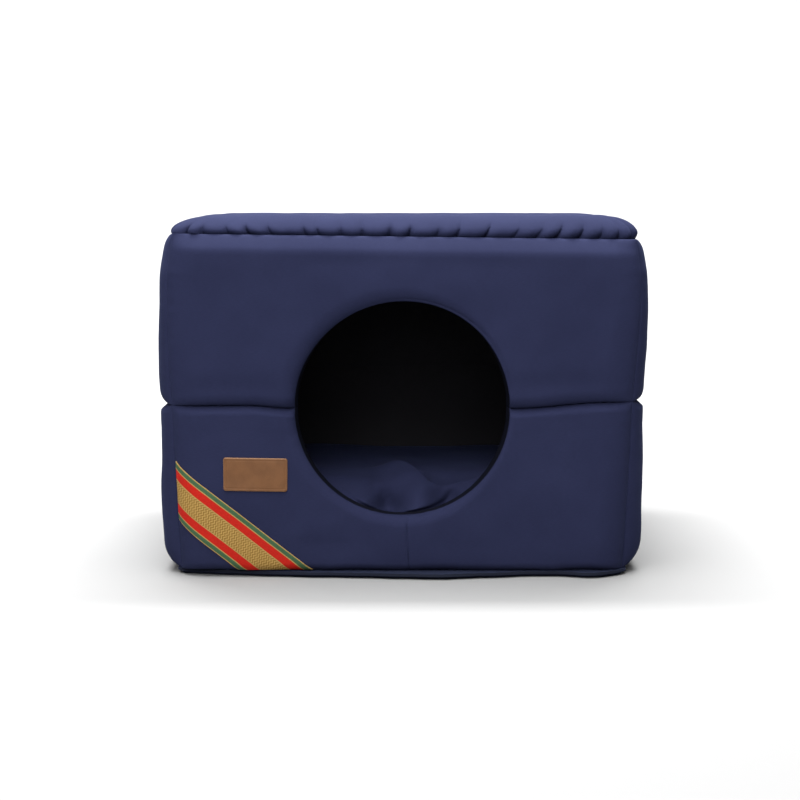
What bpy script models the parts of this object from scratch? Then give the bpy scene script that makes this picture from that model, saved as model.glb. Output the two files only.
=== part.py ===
"""Pet igloo bed: a square house of padded cloth panels with a round door and a loose floor cushion.

Metres, +Z up, front towards -Y. The origin is on the floor, under the middle of the bed.
"""
import math
import random

import bmesh
import bpy
from mathutils import Matrix, Vector

# Plan sizes, all measured outwards from the middle of the bed.
CORNER = 0.2350
CORNER_LINE = (
    # height, distance out from the middle of the bed
    (0.0, 0.2265), (0.05, 0.2290), (0.10, 0.2315), (0.1775, 0.2345), (0.22, 0.2375),
    (0.27, 0.2398), (0.31, 0.2396), (0.335, 0.2365), (0.352, 0.2335),
)
INNER_CORNER = 0.2230
UPPER_FACE = 0.2515
LOWER_FACE = 0.2500
INNER_BULGE = 0.0060
INNER_ROLL = 0.0400

# Heights of the seams and of the top.
BASE_TOP = 0.0060
MIDDLE_SEAM = 0.1775
MIDDLE_SEAM_SLOPE = 0.0080
ROOF_SEAM = 0.3480
ROOF_SEAM_SLOPE = -0.0125
ROOF_TOP = 0.3705
SEAM_GAP = 0.0003

# The round door, cut through the three front panels.
DOOR_RADIUS = 0.1095
DOOR_HEIGHT = 0.1727
DOOR_RIM_ROLL = 0.0130
DOOR_RIM_DROP = 0.0090
DOOR_RIM_INNER_DROP = 0.0040
SEAM_DIP_REACH = 0.0500

# How the filling rounds a panel towards its seams.
CORNER_ROLL = 0.0150
CORNER_SPREAD = 0.0600
CORNER_ROLL_SHARE = 0.62
SEAM_ROLL = 0.0140
FLOOR_ROLL = 0.0340
SEAM_SPREAD = 0.0850
SEAM_SPREAD_SHARE = 0.20
SEAM_SHARE = 0.35
ROOF_SHARE = 0.22
SIDE_HEAD_SHARES = (0.10, 0.25, 0.65)
SIDE_HEAD_SPREAD = 0.1200
FLOOR_SHARE = 0.08

# Mesh rows: distances from an edge, closest together where the cloth turns.
EDGE_STEPS = (0.0, 0.0015, 0.006, 0.014, 0.030)
RIM_STEPS = (0.0, 0.0015, 0.005, 0.011)
CENTRE_SEAM_TOP = 0.0040
CENTRE_SEAM_FOOT = 0.0078
CENTRE_SEAM_ROLL = 0.0050
CENTRE_SEAM_DROP = 0.0014

# Roof pad and its gathers.
ROOF_HALF = 0.2385
ROOF_CORNER_RADIUS = 0.0260
ROOF_ROLL = 0.0450
ROOF_BELLY = 0.0120
ROOF_SHIFT = 0.0020
GATHERS_PER_SIDE = 20
POINTS_PER_GATHER = 3
GATHER_LEAN = 0.0300

# Floor cushion.
CUSHION_HALF = 0.2120
CUSHION_CORNER_RADIUS = 0.0550
CUSHION_SEAM = 0.0440
CUSHION_TOP = 0.0960
CUSHION_ROLL = 0.0950

# Base cloth.
BASE_HALF = 0.2320
BASE_CORNER_RADIUS = 0.0320
BASE_FRONT_BOW = 0.0170
BASE_FRONT_SWELLS = ((0.030, 0.045, 0.0045), (0.190, 0.035, 0.0120))
BASE_EDGE_INSET = 0.0050

# Woven trim and leather patch, both sewn on the front lower left panel.
TRIM_WIDTH = 0.0450
TRIM_CORNER_GAP = 0.0022
TRIM_FLOOR_GAP = 0.0028
TRIM_THICKNESS = 0.0010
TRIM_LIFT = 0.0005
TRIM_END_STEPS = 0.35
TRIM_START = (-0.2172, 0.0751)
TRIM_SLOPE = -0.80
PATCH_WIDTH = 0.0660
PATCH_HEIGHT = 0.0340
PATCH_THICKNESS = 0.0018
PATCH_LIFT = 0.0004
PATCH_CENTRE = (-0.1497, 0.1064)
PATCH_TURN = math.radians(-0.8)
PATCH_CORNER = 0.0025

NAVY = (0.030, 0.036, 0.082)
NAVY_CUSHION = (0.028, 0.034, 0.075)
BASE_CLOTH = (0.012, 0.014, 0.022)
TRIM_GOLD = (0.52, 0.30, 0.08)
PATCH_TAN = (0.21, 0.10, 0.05)

for old in list(bpy.data.objects):
    bpy.data.objects.remove(old, do_unlink=True)


def roll(distance, reach):
    """A quarter round: 0 at an edge, 1 from the reach on."""
    left = 1.0 - min(max(distance / reach, 0.0), 1.0)
    return math.sqrt(1.0 - left * left)


def ease(share):
    """Like a roll, but leaves the edge at a slant."""
    left = 1.0 - min(max(share, 0.0), 1.0)
    return 1.0 - left * left


def middle_seam(x, front):
    """Height of the seam between the upper and lower walls. At the front it dips to the door."""
    level = MIDDLE_SEAM + MIDDLE_SEAM_SLOPE * x
    if not front:
        return level
    reach = SEAM_DIP_REACH if x < 0 else 2 * SEAM_DIP_REACH
    past = min(max((abs(x) - DOOR_RADIUS) / reach, 0.0), 1.0)
    return DOOR_HEIGHT + (level - DOOR_HEIGHT) * past * past * (3 - 2 * past)


def roof_seam(x):
    """Height of the seam between the walls and the roof pad."""
    return ROOF_SEAM + ROOF_SEAM_SLOPE * x


def centre_seam(height):
    """Where the seam under the door lies, left to right."""
    share = (DOOR_HEIGHT - DOOR_RADIUS - height) / (DOOR_HEIGHT - DOOR_RADIUS)
    return CENTRE_SEAM_TOP + (CENTRE_SEAM_FOOT - CENTRE_SEAM_TOP) * share


def corner_seam(height):
    """How far out a corner seam stands. It bows out upstairs and leans in towards the floor."""
    for (low, start), (high, end) in zip(CORNER_LINE, CORNER_LINE[1:]):
        if height <= high:
            return start + (end - start) * (height - low) / (high - low)
    return CORNER_LINE[-1][1]


def corner_rise(distance):
    quick = roll(distance, CORNER_ROLL)
    broad = roll(distance, CORNER_SPREAD)
    return CORNER_ROLL_SHARE * quick + (1 - CORNER_ROLL_SHARE) * broad


def seam_rise(distance, share, reach):
    quick = roll(distance, reach)
    broad = roll(distance, SEAM_SPREAD)
    return share + (1 - SEAM_SPREAD_SHARE - share) * quick + SEAM_SPREAD_SHARE * broad


class Wall:
    """One storey of one wall, with its two faces as depths over (across, height)."""

    def __init__(self, upper, turn):
        self.upper = upper
        self.turn = turn
        self.front = turn == 0
        self.face = UPPER_FACE if upper else LOWER_FACE
        self.gentle_head = upper and turn != 0
        self.half = CORNER - SEAM_GAP / math.sqrt(2)

    def world_x(self, across, out=CORNER):
        return across * math.cos(self.turn) + out * math.sin(self.turn)

    def foot(self, across):
        if self.upper:
            return middle_seam(self.world_x(across), self.front) + SEAM_GAP / 2
        return BASE_TOP + SEAM_GAP

    def head(self, across):
        if self.upper:
            return roof_seam(self.world_x(across)) - SEAM_GAP / 2
        return middle_seam(self.world_x(across), self.front) - SEAM_GAP / 2

    def rises(self, across, height):
        corner = corner_rise(self.half - abs(across))
        foot_share = SEAM_SHARE if self.upper else FLOOR_SHARE
        foot_reach = SEAM_ROLL if self.upper else FLOOR_ROLL
        head_share = ROOF_SHARE if self.upper else SEAM_SHARE
        low = seam_rise(height - self.foot(across), foot_share, foot_reach)
        below = self.head(across) - height
        high = seam_rise(below, head_share, SEAM_ROLL)
        if self.gentle_head:
            start, quick, broad = SIDE_HEAD_SHARES
            high = start + quick * roll(below, SEAM_ROLL) + broad * roll(below, SIDE_HEAD_SPREAD)
        return corner, min(low, high)

    def past_rim(self, across, height):
        return math.hypot(across, height - DOOR_HEIGHT) - DOOR_RADIUS

    def outer(self, across, height):
        corner, seam = self.rises(across, height)
        depth = corner_seam(height)
        depth += (self.face - depth) * corner * seam
        if self.front:
            depth -= DOOR_RIM_DROP * (1 - roll(self.past_rim(across, height), DOOR_RIM_ROLL))
        if self.front and not self.upper:
            beside = abs(across - centre_seam(height))
            depth -= CENTRE_SEAM_DROP * (1 - roll(beside, CENTRE_SEAM_ROLL))
        return depth

    def inner(self, across, height):
        corner = ease((self.half - abs(across)) / INNER_ROLL)
        seam = ease(min(height - self.foot(across), self.head(across) - height) / INNER_ROLL)
        depth = INNER_CORNER - INNER_BULGE * corner * seam
        if self.front:
            depth += DOOR_RIM_INNER_DROP * (1 - roll(self.past_rim(across, height), DOOR_RIM_ROLL))
        return min(depth, INNER_CORNER)

    def point(self, across, height, inside):
        """A point of the outer or inner face, as seen from the front: x across, -y outwards."""
        if inside:
            out, shift, power = self.inner(across, height), INNER_CORNER - CORNER, 2
        else:
            out, shift, power = self.outer(across, height), corner_seam(height) - CORNER, 4
        shift *= abs(across / self.half) ** power
        return Vector((across + shift * math.copysign(1, across), -out, height))


def material(name, colour, roughness=0.75):
    made = bpy.data.materials.new(name)
    made.use_nodes = True
    shader = made.node_tree.nodes["Principled BSDF"]
    shader.inputs["Base Color"].default_value = (*colour, 1.0)
    shader.inputs["Roughness"].default_value = roughness
    shader.inputs["Metallic"].default_value = 0.0
    return made


def finished(name, bm, colour, turn=0.0):
    """Turns a closed bmesh into a named object with its own material."""
    bmesh.ops.recalc_face_normals(bm, faces=bm.faces)
    mesh = bpy.data.meshes.new(name)
    bm.to_mesh(mesh)
    bm.free()
    mesh.shade_smooth()
    mesh.set_sharp_from_angle(angle=math.radians(40))
    mesh.materials.append(material(name, colour))
    made = bpy.data.objects.new(name, mesh)
    made.rotation_euler.z = turn
    bpy.context.collection.objects.link(made)
    return made


def two_faced(columns, rows, place):
    """A closed pad: an outer and an inner grid, joined by a strip all round."""
    bm = bmesh.new()
    layers = []
    for inside in (False, True):
        layers.append([[bm.verts.new(place(i, j, inside)) for j in range(rows)] for i in range(columns)])
    for layer in layers:
        for i in range(columns - 1):
            for j in range(rows - 1):
                bm.faces.new((layer[i][j], layer[i + 1][j], layer[i + 1][j + 1], layer[i][j + 1]))
    outer, inner = layers
    for i in range(columns - 1):
        for j in (0, rows - 1):
            bm.faces.new((outer[i][j], inner[i][j], inner[i + 1][j], outer[i + 1][j]))
    for j in range(rows - 1):
        for i in (0, columns - 1):
            bm.faces.new((outer[i][j], outer[i][j + 1], inner[i][j + 1], inner[i][j]))
    return bm


def spread(length, middle, start=EDGE_STEPS, end=EDGE_STEPS):
    """Distances along an edge: close together at both ends, with some equal steps between."""
    first = start[-1]
    last = length - end[-1]
    between = [first + (last - first) * k / middle for k in range(1, middle)]
    return list(start) + between + [length - step for step in reversed(end)]


def plain_wall(name, upper, turn):
    wall = Wall(upper, turn)
    acrosses = [step - wall.half for step in spread(2 * wall.half, 4)]
    storey = wall.head(0.0) - wall.foot(0.0)
    shares = [step / storey for step in spread(storey, 2)]

    def place(i, j, inside):
        across = acrosses[i]
        foot, head = wall.foot(across), wall.head(across)
        return wall.point(across, foot + (head - foot) * shares[j], inside)

    return finished(name, two_faced(len(acrosses), len(shares), place), NAVY, turn)


def leg(start, end, middle):
    """Points from one corner of a panel's outline to the next."""
    start, end = Vector(start), Vector(end)
    length = (end - start).length
    return [start.lerp(end, step / length) for step in spread(length, middle)]


def door_wall(name, upper, corners, middles):
    """A front panel: rays run from the door's rim out to the panel's edge."""
    wall = Wall(upper, 0.0)
    rim = Vector((0.0, DOOR_HEIGHT))
    edge = []
    for start, end, middle in zip(corners, corners[1:], middles):
        edge += leg(start, end, middle)[0 if not edge else 1:]
    seam_side = 1 if upper else -1

    def place(i, j, inside):
        ray = edge[i] - rim
        steps = spread(ray.length - DOOR_RADIUS, 2, RIM_STEPS)
        spot = rim + ray.normalized() * (DOOR_RADIUS + steps[j])
        across = min(max(spot.x, -wall.half), wall.half)
        away = max(0.0, 1 - abs(spot.y - DOOR_HEIGHT) / SEAM_DIP_REACH)
        seam = (wall.foot if upper else wall.head)(across)
        height = spot.y + (seam - DOOR_HEIGHT - seam_side * SEAM_GAP / 2) * away
        height = min(max(height, wall.foot(across)), wall.head(across))
        return wall.point(across, height, inside)

    rows = len(RIM_STEPS) + 1 + len(EDGE_STEPS)
    return finished(name, two_faced(len(edge), rows, place), NAVY)


def rounded_square(half, radius, turn):
    """Point and outward direction on a rounded square. Each side takes one unit of turn."""
    straight = half - radius
    run = (turn % 1.0 - 0.5) * 2 * (straight + radius * math.pi / 4)
    angle = max(abs(run) - straight, 0.0) / radius
    sign = -1 if run < 0 else 1
    reach = min(abs(run), straight) + radius * math.sin(angle)
    spot = Vector((sign * reach, -straight - radius * math.cos(angle), 0))
    way = Vector((sign * math.sin(angle), -math.cos(angle), 0))
    spin = Matrix.Rotation(math.floor(turn) * math.pi / 2, 3, "Z")
    return spin @ spot, spin @ way


def join_rings(bm, rings):
    """Joins rings of points. A ring may have a third of the points of its neighbour."""
    for one, two in zip(rings, rings[1:]):
        fine, coarse = (one, two) if len(one) >= len(two) else (two, one)
        ratio = len(fine) // len(coarse)
        for k in range(len(coarse)):
            along = [fine[(k * ratio + m) % len(fine)] for m in range(ratio + 1)]
            bm.faces.new(along + [coarse[(k + 1) % len(coarse)], coarse[k]])


def close_ring(bm, ring, height):
    """Closes a ring with a fan around its middle."""
    middle = bm.verts.new((0, 0, height))
    for one, two in zip(ring, ring[1:] + ring[:1]):
        bm.faces.new((one, two, middle))


def roof_pad():
    """The roof: a square pad, gathered all round where it is sewn to the walls."""
    bm = bmesh.new()
    shuffle = random.Random(11)
    fine = 4 * GATHERS_PER_SIDE * POINTS_PER_GATHER
    coarse = fine // POINTS_PER_GATHER
    depths = [shuffle.uniform(0.0010, 0.0030) for _ in range(coarse)]
    shifts = [shuffle.uniform(-0.18, 0.18) / GATHERS_PER_SIDE for _ in range(coarse)]
    # How far in each upper ring lies, and how much of the gathers' depth it takes.
    gathered = ((0.0, 0.3), (0.0012, 1.0), (0.0045, 1.0), (0.0100, 0.5), (0.0180, 0.1), (0.0280, 0.0))

    def ring(inset, height_of, count, gather=0.0, shift=0.0):
        made = []
        half = ROOF_HALF - inset
        radius = ROOF_CORNER_RADIUS * half / ROOF_HALF
        for k in range(count):
            fold, part = divmod(k * fine // count, POINTS_PER_GATHER)
            turn = 4 * k / count + shifts[fold] * min(1, gather * 4)
            lean = (turn % 1.0 - 0.5) * GATHER_LEAN * roll(inset, ROOF_ROLL)
            turn += lean * (1 - (2 * abs(turn % 1.0 - 0.5)) ** 6)
            spot, way = rounded_square(half, radius, turn)
            push = (-depths[fold], 0.0006, 0.0009)[part] * gather
            spot = spot + way * push
            spot.z = height_of(spot.x)
            spot.x += shift
            made.append(bm.verts.new(spot))
        return made

    def top(inset):
        rise = roll(inset, ROOF_ROLL)
        return lambda x: roof_seam(x) + SEAM_GAP / 2 + (ROOF_TOP - roof_seam(x)) * rise

    def under(drop):
        return lambda x: roof_seam(x) + SEAM_GAP / 2 - drop

    def leant(inset):
        return ROOF_SHIFT * (1 + roll(inset, ROOF_ROLL))

    rings = [ring(inset, top(inset), fine, gather, leant(inset)) for inset, gather in gathered]
    rings += [ring(inset, top(inset), coarse, 0.0, leant(inset)) for inset in (0.045, 0.110)]
    join_rings(bm, rings)
    close_ring(bm, rings[-1], ROOF_TOP)
    # How far in each lower ring lies, and how far it hangs below the seam.
    bellies = ((0.0165, 0.0), (0.0230, 0.0045), (0.0450, 0.0095), (0.1100, ROOF_BELLY))
    below = [rings[0]] + [ring(inset, under(drop), coarse) for inset, drop in bellies]
    join_rings(bm, below)
    close_ring(bm, below[-1], ROOF_SEAM - ROOF_BELLY)
    bmesh.ops.triangulate(bm, faces=[face for face in bm.faces if len(face.verts) > 4])
    return finished("roof", bm, NAVY)


# Soft dips and swells on the cushion: where, how wide each way, how high.
CUSHION_FORMS = (
    # x, y, wide, deep, height
    (-0.018, -0.190, 0.030, 0.034, -0.0120),
    (0.052, -0.180, 0.036, 0.040, -0.0090),
    (0.012, -0.150, 0.040, 0.050, 0.0050),
    (-0.090, -0.140, 0.070, 0.060, 0.0030),
    (0.120, -0.130, 0.060, 0.060, 0.0030),
    (0.030, 0.090, 0.110, 0.090, -0.0060),
)


def cushion_form(x, y):
    total = 0.0
    for at_x, at_y, wide, deep, height in CUSHION_FORMS:
        total += height * math.exp(-((x - at_x) / wide) ** 2 - ((y - at_y) / deep) ** 2)
    return total


def floor_cushion():
    """The loose cushion: flat below, with a seam round its waist and a crowned top."""
    bm = bmesh.new()
    count = 72
    foot = BASE_TOP + SEAM_GAP

    def ring(inset, height, form):
        made = []
        half = CUSHION_HALF - inset
        for k in range(count):
            spot, _ = rounded_square(half, CUSHION_CORNER_RADIUS * half / CUSHION_HALF, 4 * k / count)
            spot.z = height + form * cushion_form(spot.x, spot.y)
            made.append(bm.verts.new(spot))
        return made

    sides = ((0.0260, 0.0), (0.0120, 0.10), (0.0035, 0.40), (0.0, 1.0))
    lower = [ring(inset, foot + (CUSHION_SEAM - foot) * share, 0.0) for inset, share in sides]
    tops = (0.0035, 0.010, 0.020, 0.034, 0.055, 0.085, 0.125, 0.170)
    upper = []
    for inset in tops:
        rise = roll(inset, CUSHION_ROLL)
        upper.append(ring(inset, CUSHION_SEAM + (CUSHION_TOP - CUSHION_SEAM) * rise, rise))
    join_rings(bm, lower + upper)
    close_ring(bm, lower[0], foot)
    close_ring(bm, upper[-1], CUSHION_TOP + cushion_form(0, 0))
    return finished("cushion", bm, NAVY_CUSHION)


def base_cloth():
    """The dark bottom: flat where it stands, its front edge pushed out by the filling."""
    bm = bmesh.new()
    count = 80

    def ring(inset, height):
        made = []
        for k in range(count):
            spot, _ = rounded_square(BASE_HALF - inset, BASE_CORNER_RADIUS - inset, 4 * k / count)
            if spot.y < 0:
                front = max(0.0, 1 - (spot.x / (BASE_HALF - 0.02)) ** 2)
                out = BASE_FRONT_BOW * front
                for middle, wide, deep in BASE_FRONT_SWELLS:
                    out += deep * math.exp(-((spot.x - middle) / wide) ** 2)
                spot.y -= out * (-spot.y / BASE_HALF) ** 2
            spot.z = height
            made.append(bm.verts.new(spot))
        return made

    rings = [ring(BASE_EDGE_INSET, 0.0), ring(0.0012, 0.0022), ring(0.0, 0.0040), ring(0.0015, BASE_TOP)]
    join_rings(bm, rings)
    close_ring(bm, rings[0], 0.0)
    close_ring(bm, rings[-1], BASE_TOP)
    return finished("base", bm, BASE_CLOTH)


def sewn_on(name, columns, rows, spot_at, lift, thickness, colour):
    """A thin piece that follows the front lower left panel, a little off its face."""
    wall = Wall(False, 0.0)
    nudge = 0.0005

    def place(i, j, inside):
        across, height = spot_at(i, j)
        here = wall.point(across, height, False)
        right = wall.point(across + nudge, height, False) - wall.point(across - nudge, height, False)
        upward = wall.point(across, height + nudge, False) - wall.point(across, height - nudge, False)
        off = right.cross(upward).normalized()
        return here + off * (lift if inside else lift + thickness)

    return finished(name, two_faced(columns, rows, place), colour)


def unrolled(stop, flat, point_at):
    """Places from stop to flat, each with where it would lie if the cloth ran on flat."""
    steps = 60
    places = [flat + (stop - flat) * k / steps for k in range(steps + 1)]
    run, found = flat, [(flat, flat)]
    for one, two in zip(places, places[1:]):
        run += math.copysign((point_at(two) - point_at(one)).length, stop - flat)
        found.append((run, two))
    return sorted(found)


def rolled(found, run):
    """The place on the panel for a place on the cloth laid flat."""
    for (one, start), (two, end) in zip(found, found[1:]):
        if one <= run <= two:
            return start + (end - start) * (run - one) / (two - one)
    return found[0][1] if run < found[0][0] else run


def trim_ribbon():
    """The woven ribbon, sewn slantwise from the corner seam down to the base seam.

    It lies straight on the cloth, so it bends where the cloth rolls over at both seams.
    """
    columns, rows = 25, 9
    wall = Wall(False, 0.0)
    start = Vector(TRIM_START)
    along = Vector((1, TRIM_SLOPE)).normalized()
    upward = Vector((-along.y, along.x))
    acrosses = unrolled(TRIM_CORNER_GAP - CORNER, -0.17, lambda x: wall.point(x, 0.09, False))
    heights = unrolled(BASE_TOP + TRIM_FLOOR_GAP, 0.07, lambda z: wall.point(-0.16, z, False))

    def spot_at(i, j):
        line = start + upward * ((j / (rows - 1) - 0.5) * TRIM_WIDTH)
        back = (acrosses[0][0] - line.x) / along.x
        ahead = (heights[0][0] - line.y) / along.y
        share = i / (columns - 1)
        share -= TRIM_END_STEPS * math.sin(2 * math.pi * share) / (2 * math.pi)
        spot = line + along * (back + (ahead - back) * share)
        return rolled(acrosses, spot.x), rolled(heights, spot.y)

    return sewn_on("ribbon", columns, rows, spot_at, TRIM_LIFT, TRIM_THICKNESS, TRIM_GOLD)


def leather_patch():
    """The small leather patch, with softly rounded corners."""
    columns, rows = 9, 6
    spin = Matrix.Rotation(PATCH_TURN, 2)

    def spot_at(i, j):
        across = (i / (columns - 1) - 0.5) * PATCH_WIDTH
        upward = (j / (rows - 1) - 0.5) * PATCH_HEIGHT
        if i in (0, columns - 1) and j in (0, rows - 1):
            across -= math.copysign(PATCH_CORNER * 0.3, across)
            upward -= math.copysign(PATCH_CORNER * 0.3, upward)
        spot = Vector(PATCH_CENTRE) + spin @ Vector((across, upward))
        return spot.x, spot.y

    return sewn_on("patch", columns, rows, spot_at, PATCH_LIFT, PATCH_THICKNESS, PATCH_TAN)


base_cloth()
half = Wall(True, 0.0).half
top_left, top_right = (-half, roof_seam(-half)), (half, roof_seam(half))
seam_left, seam_right = (-half, DOOR_HEIGHT), (half, DOOR_HEIGHT)
foot_left, foot_right = (-half, BASE_TOP + SEAM_GAP), (half, BASE_TOP + SEAM_GAP)
foot_centre = centre_seam(BASE_TOP)
door_wall("front_upper", True, (seam_right, top_right, top_left, seam_left), (3, 12, 3))
door_wall("front_lower_left", False,
          (seam_left, foot_left, (foot_centre - SEAM_GAP / 2, foot_left[1])), (3, 6))
door_wall("front_lower_right", False,
          ((foot_centre + SEAM_GAP / 2, foot_right[1]), foot_right, seam_right), (6, 3))
for side, quarter in (("right", 1), ("back", 2), ("left", 3)):
    plain_wall(side + "_lower", False, quarter * math.pi / 2)
    plain_wall(side + "_upper", True, quarter * math.pi / 2)
roof_pad()
floor_cushion()
trim_ribbon()
leather_patch()
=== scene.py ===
import math
import random

import bmesh
import bpy
from mathutils import Matrix, Vector, noise


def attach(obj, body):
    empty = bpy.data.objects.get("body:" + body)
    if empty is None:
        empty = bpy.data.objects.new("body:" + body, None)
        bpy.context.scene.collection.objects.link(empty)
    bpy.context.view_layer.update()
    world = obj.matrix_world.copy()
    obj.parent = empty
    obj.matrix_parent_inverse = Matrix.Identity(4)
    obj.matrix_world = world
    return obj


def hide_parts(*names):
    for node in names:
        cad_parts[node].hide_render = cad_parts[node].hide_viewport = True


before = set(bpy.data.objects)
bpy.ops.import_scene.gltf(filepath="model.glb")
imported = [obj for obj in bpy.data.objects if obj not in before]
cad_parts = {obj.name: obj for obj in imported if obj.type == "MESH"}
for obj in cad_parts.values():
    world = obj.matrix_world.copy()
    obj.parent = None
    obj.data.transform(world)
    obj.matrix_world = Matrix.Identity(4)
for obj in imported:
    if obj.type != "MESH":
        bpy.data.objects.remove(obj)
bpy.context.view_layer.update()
scene = bpy.context.scene

# Camera: a long lens a little above the top of the bed, straight in front of it,
# turned down by just under six degrees.
camera_data = bpy.data.cameras.new("camera")
camera_data.lens = 89.4
camera_data.sensor_width = 36.0
camera = bpy.data.objects.new("camera", camera_data)
camera.location = (-0.0021, -2.25, 0.385)
camera.rotation_euler = (math.radians(90 - 5.78), 0, 0)
scene.collection.objects.link(camera)
scene.camera = camera
scene.view_settings.view_transform = "Standard"

# Studio light: a large soft box over the bed, one in front, high and to the left, a weak
# low one that reaches in through the door, one that whitens the sweep of the floor
# behind the bed, and a dim grey room.
for name, place, aim, size, watts in (
    ("key", (-0.20, -0.15, 2.60), (-0.20, -0.15, 0.0), (2.2, 2.6), 174),
    ("front", (-0.45, -2.05, 1.72), (0.0, -0.15, 0.15), (2.2, 1.6), 57),
    ("door", (-0.10, -2.80, 0.95), (0.0, 0.0, 0.18), (0.9, 1.1), 20),
    ("backdrop", (0.0, 1.22, 3.40), (0.0, 3.60, 0.6), (2.8, 1.5), 520),
):
    light = bpy.data.lights.new(name, "AREA")
    light.shape = "RECTANGLE"
    light.size, light.size_y = size
    light.energy = watts
    lamp = bpy.data.objects.new(name, light)
    lamp.location = place
    lamp.rotation_euler = (Vector(aim) - Vector(place)).to_track_quat("-Z", "Y").to_euler()
    scene.collection.objects.link(lamp)
world = bpy.data.worlds.new("room")
world.use_nodes = True
world.node_tree.nodes["Background"].inputs["Color"].default_value = (0.12, 0.12, 0.122, 1)
scene.world = world


# Floor: a plain pale sheet of paper, laid flat under the bed and swept up behind it
# in a quarter round of one metre, then straight up.
def finished(name, bm, material, keep_sharp=180):
    """Turns a bmesh into a smooth shaded object with one material."""
    mesh = bpy.data.meshes.new(name)
    bm.to_mesh(mesh)
    bm.free()
    mesh.shade_smooth()
    if keep_sharp < 180:
        mesh.set_sharp_from_angle(angle=math.radians(keep_sharp))
    mesh.materials.append(material)
    made = bpy.data.objects.new(name, mesh)
    scene.collection.objects.link(made)
    return made


def plain(name, colour, roughness):
    """A new material with its shader; what varies over the surface is wired in later."""
    made = bpy.data.materials.new(name)
    made.use_nodes = True
    shader = made.node_tree.nodes["Principled BSDF"]
    shader.inputs["Base Color"].default_value = (*colour, 1)
    shader.inputs["Roughness"].default_value = roughness
    return made, shader


FLOOR_HALF_WIDTH = 1.6
FLOOR_LENGTH = 6.2
FLOOR_FRONT = 1.6
FLOOR_BACK = 2.2
bm = bmesh.new()
bmesh.ops.create_grid(bm, x_segments=2, y_segments=24, size=1.0)
for vert in bm.verts:
    run = (vert.co.y + 1) / 2 * FLOOR_LENGTH - FLOOR_FRONT
    past = max(run - FLOOR_BACK, 0.0)
    turn = min(past, math.pi / 2)
    rise = max(past - math.pi / 2, 0.0)
    back = min(run, FLOOR_BACK) + math.sin(turn)
    vert.co = (vert.co.x * FLOOR_HALF_WIDTH, back, 1 - math.cos(turn) + rise)
floor_paint, _ = plain("floor paint", (0.255, 0.255, 0.255), 0.9)
finished("floor", bm, floor_paint)


# Walls: each is a pad of navy cotton over soft filling, dark inside, sewn to its
# neighbours at turned seams, in an upper and a lower row. The round door is cut
# through the front three.
class Value:
    """One value in a material's maths, so that the sums below read as sums."""

    def __init__(self, tree, out=None):
        self.tree = tree
        self.out = out

    def node(self, kind, values=(), out=0, **settings):
        """Adds a node: first its settings, then its values or links, by place or by name."""
        made = self.tree.nodes.new("ShaderNode" + kind)
        for name, value in settings.items():
            setattr(made, name, value)
        pairs = values.items() if isinstance(values, dict) else enumerate(values)
        for key, value in pairs:
            if isinstance(value, Value):
                self.tree.links.new(value.out, made.inputs[key])
            else:
                made.inputs[key].default_value = value
        return Value(self.tree, made.outputs[out])

    def math(self, operation, *values):
        return self.node("Math", values, operation=operation)

    def __add__(self, other):
        return self.math("ADD", self, other)

    def __mul__(self, other):
        return self.math("MULTIPLY", self, other)

    __radd__ = __add__
    __rmul__ = __mul__

    def sine(self):
        return self.math("SINE", self)

    def between(self, low, high):
        """0 below low, 1 above high, and smooth between them."""
        values = {"Value": self, "From Min": low, "From Max": high}
        return self.node("MapRange", values, interpolation_type="SMOOTHSTEP")

    def mix(self, one, two):
        """Colour one where this is 0, colour two where it is 1."""
        return self.node("Mix", {0: self, 6: one, 7: two}, out=2, data_type="RGBA")

    def noise(self, scale, detail=2.0, roughness=0.5):
        """Noise over this place."""
        values = {"Vector": self, "Scale": scale, "Detail": detail, "Roughness": roughness}
        return self.node("TexNoise", values)

    def feeds(self, shader, name):
        self.tree.links.new(self.out, shader.inputs[name])


def woven(name, dark, light, pitch, depth, sheen):
    """Plain woven cloth, two shades of thread, its pitch and depth in metres, as its UV map is."""
    made, shader = plain(name, dark, 0.85)
    start = Value(made.node_tree)
    place = start.node("UVMap", uv_map="cloth")
    stray = place.noise(scale=900.0)
    u = start.node("SeparateXYZ", [place], out=0)
    v = start.node("SeparateXYZ", [place], out=1)
    warp = (u * (math.pi / pitch) + stray * 1.5).sine()
    weft = (v * (math.pi / pitch) + stray * 1.5).sine()
    threads = warp * weft
    slub = start.node("VectorMath", [place, (1, 7, 1)], operation="MULTIPLY").noise(scale=220.0)
    patchy = place.noise(scale=14.0, detail=3.0)
    shade = slub * 0.45 + patchy * 0.45 + threads * 0.10
    shade.between(0.25, 0.75).mix((*dark, 1), (*light, 1)).feeds(shader, "Base Color")
    (0.80 + slub * 0.14).feeds(shader, "Roughness")
    height = threads * 0.5 + slub * 0.6
    bump = start.node("Bump", {"Strength": 0.8, "Distance": depth, "Height": height})
    bump.feeds(shader, "Normal")
    shader.inputs["Sheen Weight"].default_value = sheen
    shader.inputs["Sheen Roughness"].default_value = 0.45
    shader.inputs["Sheen Tint"].default_value = (0.36, 0.46, 1.0, 1)
    shader.inputs["Specular IOR Level"].default_value = 0.03
    return made


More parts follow.
